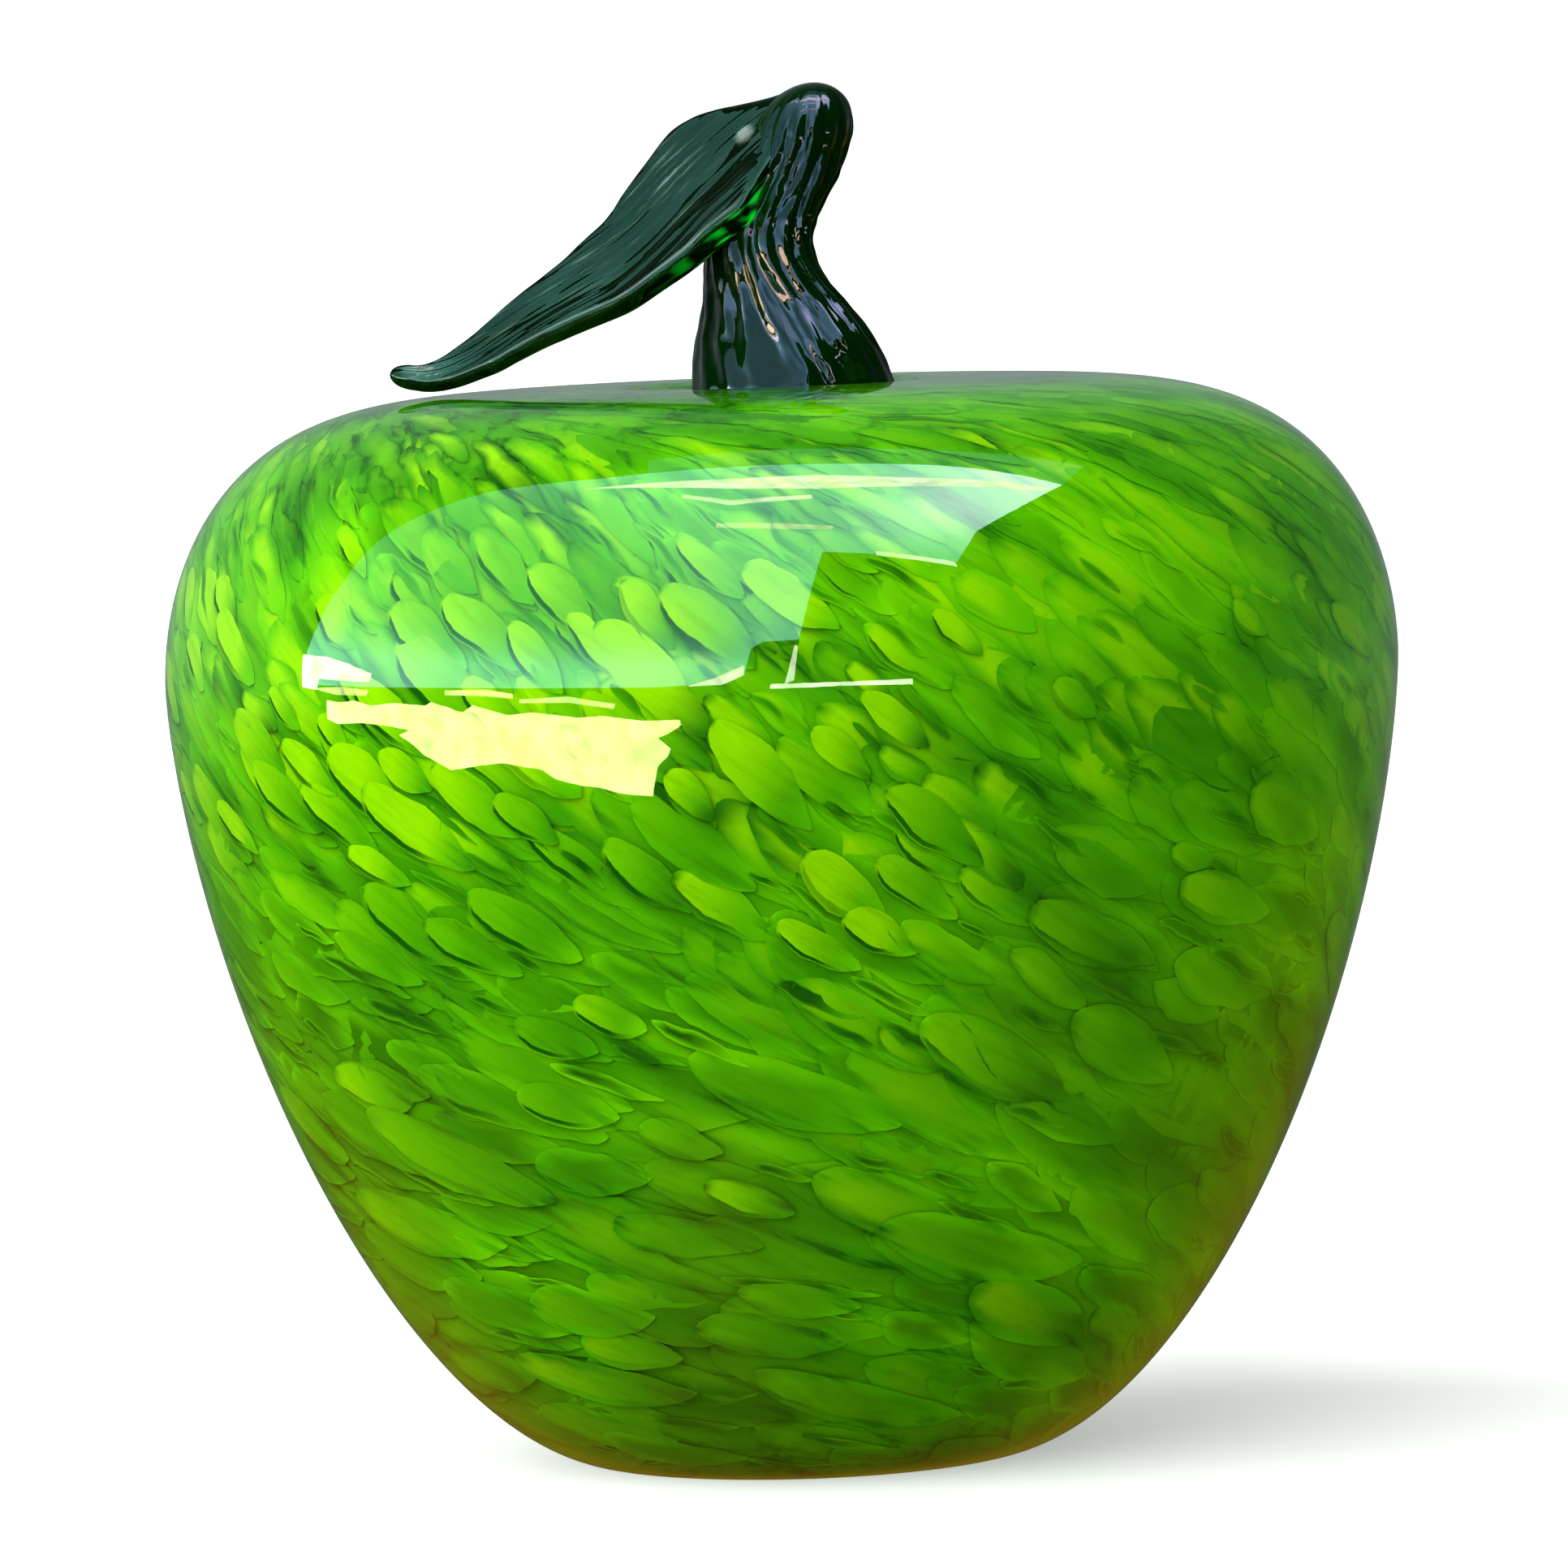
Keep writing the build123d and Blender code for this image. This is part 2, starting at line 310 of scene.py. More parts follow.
overhead("strip_thin", ((-0.20, -0.185), (-0.10, -0.28), (0.08, -0.255), (0.085, -0.295), (-0.11, -0.335),
                        (-0.21, -0.215)), WHITE, 12.0, 0.02)
overhead("strip_far", ((-0.17, -0.525), (0.02, -0.565), (0.17, -0.605), (0.17, -0.645), (0.01, -0.63),
                       (-0.18, -0.575)), WHITE, 9.0, 0.01)
overhead("strip_corner", ((0.37, -0.90), (0.77, -0.98), (0.82, -1.05), (0.39, -0.96)), WHITE, 12.0, 0.01)
upright("left_glint", NEAR, (
    (-99.9, 7.5), (-92.8, 7.8), (-87.2, 6.8), (-81.2, 5.0), (-81.7, 3.0), (-89.9, 2.9), (-94.7, 2.9),
    (-95.2, 0.4), (-99.2, 0.8)), WHITE, 22.0)
upright("right_glint", NEAR, (
    (-17.3, 2.5), (-12.3, 4.8), (-6.7, 8.6), (-6.8, 5.5), (-10.8, 2.7)), WHITE, 16.0)
upright("low_line", NEAR, (
    (-2.0, 2.5), (14.1, 2.4), (23.6, 2.4), (23.5, 0.6), (12.5, 1.1), (-2.1, 1.0)), WHITE, 18.0)
upright("upright_line", 3.0, ((2.6, 14.3), (3.2, 14.2), (2.3, 3.3), (0.6, 2.4)), WHITE, 12.0)
upright("warm_card", FAR, (
    (-92.9, -1.7), (-89.5, -2.2), (-85.5, -1.6), (-81.7, -3.1), (-75.9, -2.1), (-69.1, -2.9), (-67.6, -1.7),
    (-61.1, -5.4), (-58.8, -2.9), (-51.7, -6.6), (-47.0, -5.8), (-38.4, -8.1), (-33.4, -7.8), (-25.9, -9.3),
    (-19.0, -9.4), (-18.8, -10.7), (-21.0, -12.0), (-23.3, -12.8), (-21.1, -14.4), (-21.7, -15.4),
    (-23.8, -16.5), (-25.4, -19.9), (-31.4, -19.3), (-35.3, -18.5), (-39.1, -18.0), (-43.8, -17.1),
    (-46.5, -15.8), (-54.3, -14.6), (-58.7, -14.6), (-65.6, -14.7), (-68.2, -13.7), (-71.1, -12.7),
    (-73.2, -11.3), (-76.0, -10.0), (-73.4, -9.3), (-77.5, -8.6), (-84.3, -7.8), (-90.7, -7.8),
    (-93.4, -6.8)), WARM, 24.0)
upright("warm_line_a", FAR, (
    (-64.7, 1.6), (-55.8, 2.0), (-50.5, 0.9), (-50.5, -0.5), (-55.8, 0.2), (-64.7, 0.3)), WARM, 17.0)
upright("warm_line_b", FAR, (
    (-49.2, -0.7), (-39.6, 0.1), (-30.7, -3.0), (-31.0, -5.0), (-39.7, -2.3), (-49.2, -2.2)), WARM, 14.0)
upright("warm_line_c", FAR, (
    (-97.0, 0.8), (-89.2, 1.6), (-82.0, 1.2), (-82.6, -0.2), (-90.2, -0.3)), WARM, 12.0)

# %% [markdown]
# The body was blown and then shaped in a wet block, so every layer of it is a turned form. One formula
# gives the outline, the same as in the CAD model: a full curve from the flat base to the girth, a
# squarer one up to the crest, and a shallow dimple. The layers lie at different depths under it.

# %% The outline of the body
BASE_RADIUS = 22.2
GIRTH_RADIUS = 67.3
GIRTH_HEIGHT = 86.4
CREST_RADIUS = 19.0
CREST_HEIGHT = 117.5
DIMPLE_DEPTH = 2.7
BORE_RADIUS = 5.0
LOWER_RISE, LOWER_FULLNESS = 1.53, 0.578
UPPER_RISE, UPPER_FULLNESS = 1.98, 3.9
STEPS = 90


def outline(depth, floor_height):
    """(radius, height) in mm from the base up to the bore, for a layer this deep under the outer face."""
    girth = GIRTH_RADIUS - depth
    crest = CREST_HEIGHT - depth
    run = []
    for i in range(STEPS):
        a = math.pi / 2 * (1 - i / STEPS)
        run.append((BASE_RADIUS + (girth - BASE_RADIUS) * math.cos(a) ** (2 * LOWER_FULLNESS),
                    GIRTH_HEIGHT - (GIRTH_HEIGHT - floor_height) * math.sin(a) ** (2 / LOWER_RISE)))
    for i in range(STEPS):
        a = math.pi / 2 * i / STEPS
        run.append((CREST_RADIUS + (girth - CREST_RADIUS) * math.cos(a) ** (2 / UPPER_FULLNESS),
                    GIRTH_HEIGHT + (crest - GIRTH_HEIGHT) * math.sin(a) ** (2 / UPPER_RISE)))
    for i in range(STEPS // 3 + 1):
        share = i / (STEPS // 3)
        run.append((CREST_RADIUS + (BORE_RADIUS - CREST_RADIUS) * share,
                    crest - DIMPLE_DEPTH * (1 - math.cos(math.pi * share)) / 2))
    return run


print("outer outline:", len(outline(0.0, 0.0)), "points")

# %% [markdown]
# A turned form could be spun in mesh code or with the Screw modifier. Here a small Geometry Nodes tree
# turns a profile curve: it lays a grid, reads the profile at each row, and swings each column round the
# axis. One tree then serves every layer, and the number of rows and columns stays a named input. A
# helper makes the tree with those inputs, and serves a second tree later on.

# %% A tree that turns a profile round the axis
def shape_tree(name, shape, inputs):
    """A Geometry Nodes tree that takes and gives a shape, and its other inputs by name: (tree, inputs)."""
    tree = bpy.data.node_groups.new(name, "GeometryNodeTree")
    tree.interface.new_socket("Geometry", in_out="OUTPUT", socket_type="NodeSocketGeometry")
    tree.interface.new_socket(shape, in_out="INPUT", socket_type="NodeSocketGeometry")
    sockets = {}
    for label, kind in inputs:
        sockets[label] = tree.interface.new_socket(label, in_out="INPUT", socket_type="NodeSocket" + kind)
    return tree, sockets


turner, turn_inputs = shape_tree("turn_profile", "Profile", (
    ("Rows", "Int"), ("Columns", "Int"), ("Finish", "Material")))
given = put(turner, "NodeGroupInput").outputs
lattice = put(turner, "GeometryNodeMeshGrid", {
    "Size X": 1.0, "Size Y": 1.0, "Vertices X": given["Rows"], "Vertices Y": given["Columns"]})
spot = parts_of(turner, put(turner, "GeometryNodeInputPosition").outputs[0])
along_profile = calc(turner, "ADD", spot["X"], 0.5)
swing = calc(turner, "MULTIPLY", calc(turner, "ADD", spot["Y"], 0.5), 2 * math.pi)
profile_point = put(turner, "GeometryNodeSampleCurve", {
    "Curves": given["Profile"], "Factor": along_profile}, mode="FACTOR")
swung = put(turner, "ShaderNodeVectorRotate", {
    "Vector": profile_point.outputs["Position"], "Angle": swing}, rotation_type="Z_AXIS")
placed = put(turner, "GeometryNodeSetPosition", {
    "Geometry": lattice.outputs["Mesh"], "Position": swung.outputs[0]})
joined = put(turner, "GeometryNodeMergeByDistance", {"Geometry": placed.outputs[0], "Distance": 0.002 * MM})
smooth = put(turner, "GeometryNodeSetShadeSmooth", {"Geometry": joined.outputs[0]})
real = put(turner, "GeometryNodeRealizeInstances", {"Geometry": smooth.outputs[0]})
coated = put(turner, "GeometryNodeSetMaterial", {"Geometry": real.outputs[0], "Material": given["Finish"]})
put(turner, "NodeGroupOutput", {0: coated.outputs[0]})


def settled(name, carrier):
    """The evaluated shape of a carrier object as a plain mesh; the carrier goes."""
    graph = bpy.context.evaluated_depsgraph_get()
    mesh = bpy.data.meshes.new_from_object(carrier.evaluated_get(graph))
    mesh.name = name
    bpy.data.objects.remove(carrier)
    return mesh


def turned(name, profile, rows, columns, material):
    """A mesh with outward faces, turned from a profile of (radius, height) in mm."""
    line = bpy.data.curves.new(name + "_profile", "CURVE")
    line.dimensions = "3D"
    run = line.splines.new("POLY")
    run.points.add(len(profile) - 1)
    for point, (radius, height) in zip(run.points, profile):
        point.co = (radius * MM, 0, height * MM, 1)
    carrier = bpy.data.objects.new(name + "_profile", line)
    scene.collection.objects.link(carrier)
    lathe = carrier.modifiers.new("turn", "NODES")
    lathe.node_group = turner
    for label, value in (("Rows", rows), ("Columns", columns), ("Finish", material)):
        lathe[turn_inputs[label].identifier] = value
    mesh = settled(name, carrier)
    shape = bmesh.new()
    shape.from_mesh(mesh)
    if shape.calc_volume(signed=True) < 0:
        bmesh.ops.reverse_faces(shape, faces=shape.faces)
    shape.to_mesh(mesh)
    shape.free()
    print(name, len(mesh.polygons), "faces")
    return add_mesh(name, mesh)


# %% [markdown]
# Clear casing glass is one shader: full transmission with the refraction of soda glass. It is hardly
# tinted, with a breath of green and of amber low down, where the gather is thickest.

# %% Clear casing glass
clear_glass, cg, cg_out = finish_named("clear_casing_glass")
here = own_point(cg)
low_down = parts_of(cg, here)["Z"]
gather = ramp(cg, calc(cg, "DIVIDE", low_down, CREST_HEIGHT * MM),
              (0.05, (0.97, 0.93, 0.80)), (0.55, (0.97, 1.0, 0.97)))
cords = cloudy(cg, here, 45.0, 1.0)
ripple = put(cg, "ShaderNodeBump", {"Strength": 0.02, "Distance": 2 * MM, "Height": cords})
SODA_GLASS = 1.5
skin = put(cg, "ShaderNodeBsdfPrincipled", {
    "Base Color": gather, "Roughness": 0.0, "IOR": SODA_GLASS, "Transmission Weight": 1.0,
    "Normal": ripple.outputs[0]})
cg.links.new(skin.outputs[0], cg_out.inputs[0])

CASING_WALL = 3.0
CASING_FLOOR = 6.0
PUNTY_RADIUS = 12.0
PUNTY_DEPTH = 1.5
punty_ball = (PUNTY_RADIUS ** 2 + PUNTY_DEPTH ** 2) / (2 * PUNTY_DEPTH)
PUNTY_STEPS = 12
punty = [(r, PUNTY_DEPTH - punty_ball + math.sqrt(punty_ball ** 2 - r ** 2))
         for r in (PUNTY_RADIUS * i / PUNTY_STEPS for i in range(PUNTY_STEPS + 1))]
outer = punty + outline(0.0, 0.0)
inner = outline(CASING_WALL, CASING_FLOOR)
casing = turned("casing", outer + inner[::-1] + [(0.0, CASING_FLOOR)], 420, 200, clear_glass)
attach(casing, "root")
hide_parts("clear_casing")
casing.visible_diffuse = False
casing.visible_shadow = False

# %% [markdown]
# Under the casing lies the colour: a wash of green glass, drawn out in streaks as the bubble was
# turned. Toward the base it turns olive and darker in patches, partly its own colour and partly painted
# shade with a painted warm reflection from below. Over most of the crown it is darker, a painted shade,
# and it is calmer on the right, where it melted further. Streaks that follow a helix could be painted on
# a UV map. It is easier to untwist the object's own coordinates by a turn that grows with height, and to
# stretch a noise along them.

# %% The wash of colour
TWIST = 20.0
LOW_TWIST = -2000.0


def drawn_out(tree, stretch):
    """Object coordinates untwisted along the draw of the frit, and shortened along it."""
    point = own_point(tree)
    height = parts_of(tree, point)["Z"]
    below = calc(tree, "MAXIMUM", calc(tree, "SUBTRACT", GIRTH_HEIGHT * MM, height), 0.0)
    angle = calc(tree, "MULTIPLY_ADD", calc(tree, "POWER", below, 3.0), LOW_TWIST,
                 calc(tree, "MULTIPLY", height, TWIST))
    straight = put(tree, "ShaderNodeVectorRotate", {
        "Vector": point, "Angle": angle}, rotation_type="Z_AXIS").outputs[0]
    return put(tree, "ShaderNodeMapping", {"Vector": straight, "Scale": (1, 1, stretch)}).outputs[0]


def wash_colour(tree):
    """The streaky green of the wash, at the object's own coordinates."""
    point = own_point(tree)
    place = parts_of(tree, point)
    right, height = place["X"], place["Z"]
    streaks = cloudy(tree, drawn_out(tree, 1.0), 85.0)
    clouds = cloudy(tree, point, 30.0, 1.0)
    depth = calc(tree, "ADD", streaks, calc(tree, "MULTIPLY_ADD", clouds, 0.3, -0.15))
    threads = rise(tree, cloudy(tree, drawn_out(tree, 0.35), 330.0, 2.0, 0.6), 0.50, 0.34, 0.0, 0.16)
    threads = calc(tree, "MULTIPLY", threads, rise(tree, right, 0.05, 0.0, 0.35, 1.0))
    depth = calc(tree, "SUBTRACT", depth, threads)
    depth = calc(tree, "ADD", depth, rise(tree, right, 0.02, 0.06, 0.0, 0.04))
    # Darker over the crown, less so toward the right: painted shade.
    painted_crown_shade = calc(tree, "MULTIPLY", rise(tree, height, 0.104, 0.113), rise(tree, right, 0.045, 0.0))
    depth = calc(tree, "MULTIPLY_ADD", painted_crown_shade, -0.09, depth)
    green = ramp(tree, depth, (0.24, (0.012, 0.13, 0.003)), (0.40, (0.046, 0.32, 0.002)),
                 (0.54, (0.088, 0.49, 0.001)), (0.70, (0.155, 0.65, 0.001)))
    # Olive and darker in patches toward the base: partly the wash's own colour, partly painted shade and a
    # painted warm reflection from below.
    low_olive_and_painted_shade = calc(tree, "MULTIPLY", rise(tree, height, 0.08, 0.02), rise(tree, clouds, 0.60, 0.40))
    return blend(tree, calc(tree, "MULTIPLY", low_olive_and_painted_shade, 0.55), green, (0.10, 0.17, 0.004, 1))


wash, ws, ws_out = finish_named("green_wash")
wash_skin = put(ws, "ShaderNodeBsdfPrincipled", {
    "Base Color": wash_colour(ws), "Roughness": 0.5, "Specular IOR Level": 0.0})
ws.links.new(wash_skin.outputs[0], ws_out.inputs[0])

COLOUR_LIFT = 0.1
COLOUR_WALL = 1.0
wash_outer = outline(CASING_WALL - COLOUR_LIFT, CASING_FLOOR - COLOUR_LIFT)
wash_inner = outline(CASING_WALL + COLOUR_WALL, CASING_FLOOR + COLOUR_WALL)
colour = turned("colour", [(0.0, CASING_FLOOR - COLOUR_LIFT)] + wash_outer + wash_inner[::-1]
                + [(0.0, CASING_FLOOR + COLOUR_WALL)], 300, 160, wash)
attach(colour, "root")
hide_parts("colour_layer")

# %% [markdown]
# The frit itself is crushed glass, picked up hot and drawn out into scales as the bubble grew. Each
# scale has a bright round head, a tail that sinks under its neighbours and a dark gap along one edge,
# partly painted shadow.
# Thousands of them could be modelled or painted. A Geometry Nodes tree scatters one scale over the wash
# instead, turned along the draw.

# %% A tree that scatters the frit
SCALE_ROWS, SCALE_COLUMNS = 15, 5
SCALE_FACES = (SCALE_ROWS - 1) * (SCALE_COLUMNS - 1)
SCALE_MIDDLE = 0.42
FRIT_SIZES = ("Spacing", "Length", "Width", "Wobble", "Depth low", "Depth high", "Tone low", "Tone high",
              "Softness", "Patchiness", "Thinning")
scatter, frit_inputs = shape_tree("scatter_frit", "Wash", (
    *((label, "Float") for label in FRIT_SIZES), ("Seed", "Int"), ("Finish", "Material")))
wish = put(scatter, "NodeGroupInput").outputs

cells = put(scatter, "GeometryNodeMeshGrid", {
    "Size X": 1.0, "Size Y": 2.0, "Vertices X": SCALE_ROWS, "Vertices Y": SCALE_COLUMNS})
cell = parts_of(scatter, put(scatter, "GeometryNodeInputPosition").outputs[0])
along = calc(scatter, "COSINE", calc(scatter, "MULTIPLY_ADD", cell["X"], math.pi, math.pi / 2))
along = calc(scatter, "MULTIPLY_ADD", along, -0.5, 0.5)
across = cell["Y"]
tail = calc(scatter, "SUBTRACT", 1.0, along)
breadth = calc(scatter, "MULTIPLY", calc(scatter, "POWER", along, 0.55), calc(scatter, "POWER", tail, 0.75))
breadth = calc(scatter, "MULTIPLY", breadth, 2.45)
scale_shape = put(scatter, "ShaderNodeCombineXYZ", {
    0: calc(scatter, "SUBTRACT", along, SCALE_MIDDLE),
    1: calc(scatter, "MULTIPLY", calc(scatter, "MULTIPLY", across, 0.5), breadth)})


def mark(geometry, name, value, kind="FLOAT", domain="POINT"):
    """The geometry with a value stored on it under a name."""
    return put(scatter, "GeometryNodeStoreNamedAttribute", {
        "Geometry": geometry, "Name": name, "Value": value}, data_type=kind, domain=domain).outputs[0]


def marked(name, kind="FLOAT"):
    """The value stored under a name."""
    return put(scatter, "GeometryNodeInputNamedAttribute", {"Name": name}, data_type=kind).outputs[0]


one_scale = mark(mark(cells.outputs["Mesh"], "along", along), "across", across)
one_scale = put(scatter, "GeometryNodeSetPosition", {
    "Geometry": one_scale, "Position": scale_shape.outputs[0]})
one_scale = put(scatter, "GeometryNodeSetShadeSmooth", {"Geometry": one_scale.outputs[0]})

# %% [markdown]
# The draw runs round the body and down it, steeper near the shoulder than at the foot. Each scale is
# turned with its tail down the draw, and given its own size, depth and tone by chance. The scales are
# larger and fewer low down, where the glass was stretched least. They are drawn long on the crown, and
# thin out there and on the right, where they melted away. Last, every point of a scale is shifted a
# little by a noise, brought to the nearest place on the wash and raised by the scale's own depth, less
# toward its tail and one edge. So the scales have uneven outlines, bend with the body and overlap like
# shingles. Heights here are in metres.

# %% Where each scale lies
place = put(scatter, "GeometryNodeInputPosition").outputs[0]
place_parts = parts_of(scatter, place)
place_height = place_parts["Z"]
crowding = rise(scatter, place_height, 0.03, 0.09, 0.35, 0.85)
drifts = cloudy(scatter, place, 45.0, 1.0)
bare = calc(scatter, "MULTIPLY", wish["Patchiness"], rise(scatter, drifts, 0.60, 0.42))
MELT_FROM, MELT_TO = -0.01, 0.04
melted_off = calc(scatter, "MAXIMUM", rise(scatter, place_parts["X"], MELT_FROM, MELT_TO),
                  rise(scatter, place_height, 0.101, 0.109))
bare = calc(scatter, "MAXIMUM", bare, calc(scatter, "MULTIPLY", wish["Thinning"], melted_off))
crowding = calc(scatter, "MULTIPLY", crowding, calc(scatter, "SUBTRACT", 1.0, bare))
spots = put(scatter, "GeometryNodeDistributePointsOnFaces", {
    "Mesh": wish["Wash"], "Distance Min": wish["Spacing"], "Density Max": 400000.0, "Seed": wish["Seed"],
    "Density Factor": crowding}, distribute_method="POISSON")
outward = spots.outputs["Normal"]
east = put(scatter, "ShaderNodeCombineXYZ", {
    0: calc(scatter, "MULTIPLY", place_parts["Y"], -1.0), 1: place_parts["X"]})
east = vector(scatter, "NORMALIZE", east.outputs[0])
down = vector(scatter, "CROSS_PRODUCT", east, outward)


def chance(low, high, seed):
    """A random number for each scale."""
    node = put(scatter, "FunctionNodeRandomValue", {2: low, 3: high, "Seed": seed}, data_type="FLOAT")
    return node.outputs[1]


def times(direction, amount):
    """A direction scaled by a number."""
    node = put(scatter, "ShaderNodeVectorMath", {0: direction, "Scale": amount}, operation="SCALE")
    return node.outputs[0]


steep = rise(scatter, place_height, 0.02, 0.085, math.radians(15), math.radians(37))
steep = calc(scatter, "MULTIPLY", steep, rise(scatter, place_height, 0.108, 0.1145, 1.0, 0.45))
swirl = cloudy(scatter, place, 22.0, 0.0)
steep = calc(scatter, "ADD", steep, calc(scatter, "MULTIPLY_ADD", swirl, 0.8, -0.4))
steep = calc(scatter, "ADD", steep, chance(-0.12, 0.12, 1))
flow = vector(scatter, "ADD", times(east, calc(scatter, "COSINE", steep)),
              times(down, calc(scatter, "SINE", steep)))
facing = put(scatter, "FunctionNodeAxesToRotation", {"Primary Axis": outward, "Secondary Axis": flow},
             primary_axis="Z", secondary_axis="X")
growth = rise(scatter, place_height, 0.03, 0.095, 1.7, 1.0)
size = calc(scatter, "MULTIPLY", chance(0.5, 1.25, 2), growth)
long = calc(scatter, "MULTIPLY", calc(scatter, "MULTIPLY", wish["Length"], size), chance(0.85, 1.2, 8))
wide = calc(scatter, "MULTIPLY", wish["Width"], calc(scatter, "POWER", size, 0.75))
wide = calc(scatter, "MULTIPLY", wide, chance(0.85, 1.15, 3))
pulled = rise(scatter, place_height, 0.096, 0.108, 1.0, 1.7)
long = calc(scatter, "MULTIPLY", long, pulled)
wide = calc(scatter, "DIVIDE", wide, calc(scatter, "POWER", pulled, 0.6))
bulk = put(scatter, "ShaderNodeCombineXYZ", {0: long, 1: wide, 2: 1.0})
laid = put(scatter, "GeometryNodeInstanceOnPoints", {
    "Points": mark(spots.outputs["Points"], "outward", outward, "FLOAT_VECTOR"),
    "Instance": one_scale.outputs[0], "Rotation": facing.outputs[0], "Scale": bulk.outputs[0]}).outputs[0]
for label, value in (("tone", chance(wish["Tone low"], wish["Tone high"], 5)),
                     ("depth", chance(wish["Depth low"], wish["Depth high"], 4)),
                     ("soft", calc(scatter, "MULTIPLY", wish["Softness"], chance(0.6, 1.4, 6)))):
    laid = mark(laid, label, value, domain="INSTANCE")
frit_real = put(scatter, "GeometryNodeRealizeInstances", {"Geometry": laid})
real_place = put(scatter, "GeometryNodeInputPosition").outputs[0]
tremor = put(scatter, "ShaderNodeTexNoise", {"Vector": real_place, "Scale": 230.0, "Detail": 1.0})
tremor = vector(scatter, "SUBTRACT", tremor.outputs["Color"], (0.5, 0.5, 0.5))
shifted = vector(scatter, "ADD", real_place, times(tremor, wish["Wobble"]))
nearest = put(scatter, "GeometryNodeProximity", {
    "Geometry": wish["Wash"], "Sample Position": shifted}, target_element="FACES")
HEAD_RAISED, TAIL_SUNK, EDGE_SUNK = 0.15 * MM, 0.30 * MM, 0.10 * MM
raised = calc(scatter, "MULTIPLY_ADD", marked("along"), -TAIL_SUNK, marked("depth"))
raised = calc(scatter, "ADD", raised, HEAD_RAISED)
raised = calc(scatter, "MULTIPLY_ADD", marked("across"), -EDGE_SUNK, raised)
flatter = rise(scatter, parts_of(scatter, real_place)["X"], MELT_FROM, MELT_TO, 1.0, 0.45)
bent = put(scatter, "GeometryNodeSetPosition", {
    "Geometry": frit_real.outputs[0], "Position": nearest.outputs["Position"],
    "Offset": times(marked("outward", "FLOAT_VECTOR"), calc(scatter, "MULTIPLY", raised, flatter))})
frit_done = put(scatter, "GeometryNodeSetMaterial", {
    "Geometry": bent.outputs[0], "Material": wish["Finish"]})
put(scatter, "NodeGroupOutput", {0: frit_done.outputs[0]})
print("frit tree:", len(scatter.nodes), "nodes")

# %% [markdown]
# The colour of a scale comes from what the tree stored on it: its own tone, from mid green to lime, the
# way from head to tail, and the way across. The lower edge of a crisp scale ends in a dark gap that
# fades into the wash; the gap is partly painted shadow under the edge of the scale. A scale that melted
# further is softer: its tail and sides take on the colour of the wash there, and it has no gap. Four
# beds lie over each other: long melted streaks, middling scales, short dark strokes, and bright crisp
# scales.

# %% Frit finish and the scattered frit
frit, fr, fr_out = finish_named("green_frit")
tone = stored(fr, "tone")
head_to_tail = stored(fr, "along")
side = stored(fr, "across")
frit_point = own_point(fr)
frit_place = parts_of(fr, frit_point)
frit_height = frit_place["Z"]
frit_right = rise(fr, frit_place["X"], 0.0, 0.05)
patches = cloudy(fr, frit_point, 24.0, 1.0)
mood = calc(fr, "ADD", calc(fr, "MULTIPLY", tone, 0.72), calc(fr, "MULTIPLY_ADD", patches, 0.35, -0.06))
mood = calc(fr, "ADD", mood, rise(fr, head_to_tail, 0.0, 1.0, 0.12, -0.22))
mood = calc(fr, "MULTIPLY_ADD", side, -0.06, mood)
# Darker low down and lighter up high: partly the frit's own tone, partly painted light from above.
mood = calc(fr, "ADD", mood, rise(fr, frit_height, 0.045, 0.10, -0.12, 0.14))
# Darker on the crown: painted shade.
painted_shade_on_crown = rise(fr, frit_height, 0.110, 0.1155)
mood = calc(fr, "SUBTRACT", mood, calc(fr, "MULTIPLY", painted_shade_on_crown, 0.24))
# A brighter band round the upper body: painted light.
painted_light_belt = calc(fr, "MULTIPLY", rise(fr, frit_height, 0.060, 0.080), rise(fr, frit_height, 0.105, 0.092))
mood = calc(fr, "MULTIPLY_ADD", painted_light_belt, 0.14, mood)
# A little darker on the right: painted shade, as the key light comes from the left.
mood = calc(fr, "MULTIPLY_ADD", frit_right, -0.04, mood)
scale_green = ramp(fr, mood, (0.0, (0.008, 0.10, 0.002)), (0.28, (0.040, 0.28, 0.001)),
                   (0.52, (0.075, 0.40, 0.001)), (0.75, (0.15, 0.56, 0.001)), (0.95, (0.29, 0.76, 0.001)))
fine = cloudy(fr, drawn_out(fr, 0.3), 420.0, 4.0, 0.7)
grained = ramp(fr, fine, (0.3, (0.62, 0.70, 0.62)), (0.5, (0.88, 0.91, 0.88)), (0.7, (1.0, 1.0, 1.0)))
scale_green = blend(fr, 0.85, scale_green, grained, "MULTIPLY")
# Olive toward the base: partly the frit's own colour, partly painted shade and a painted warm reflection
# from below.
low_olive_and_painted_warmth = calc(fr, "MULTIPLY", rise(fr, frit_height, 0.07, 0.015), 0.25)
scale_green = blend(fr, low_olive_and_painted_warmth, scale_green, (0.10, 0.20, 0.004, 1))
under_scale = wash_colour(fr)

softness = stored(fr, "soft")
crown_soft = rise(fr, frit_height, 0.097, 0.108)
softness = calc(fr, "MULTIPLY_ADD", crown_soft, 0.6, calc(fr, "MULTIPLY_ADD", frit_right, 0.35, softness))
softness = calc(fr, "MINIMUM", calc(fr, "ADD", softness, rise(fr, frit_height, 0.07, 0.03, 0.0, 0.35)), 1.0)
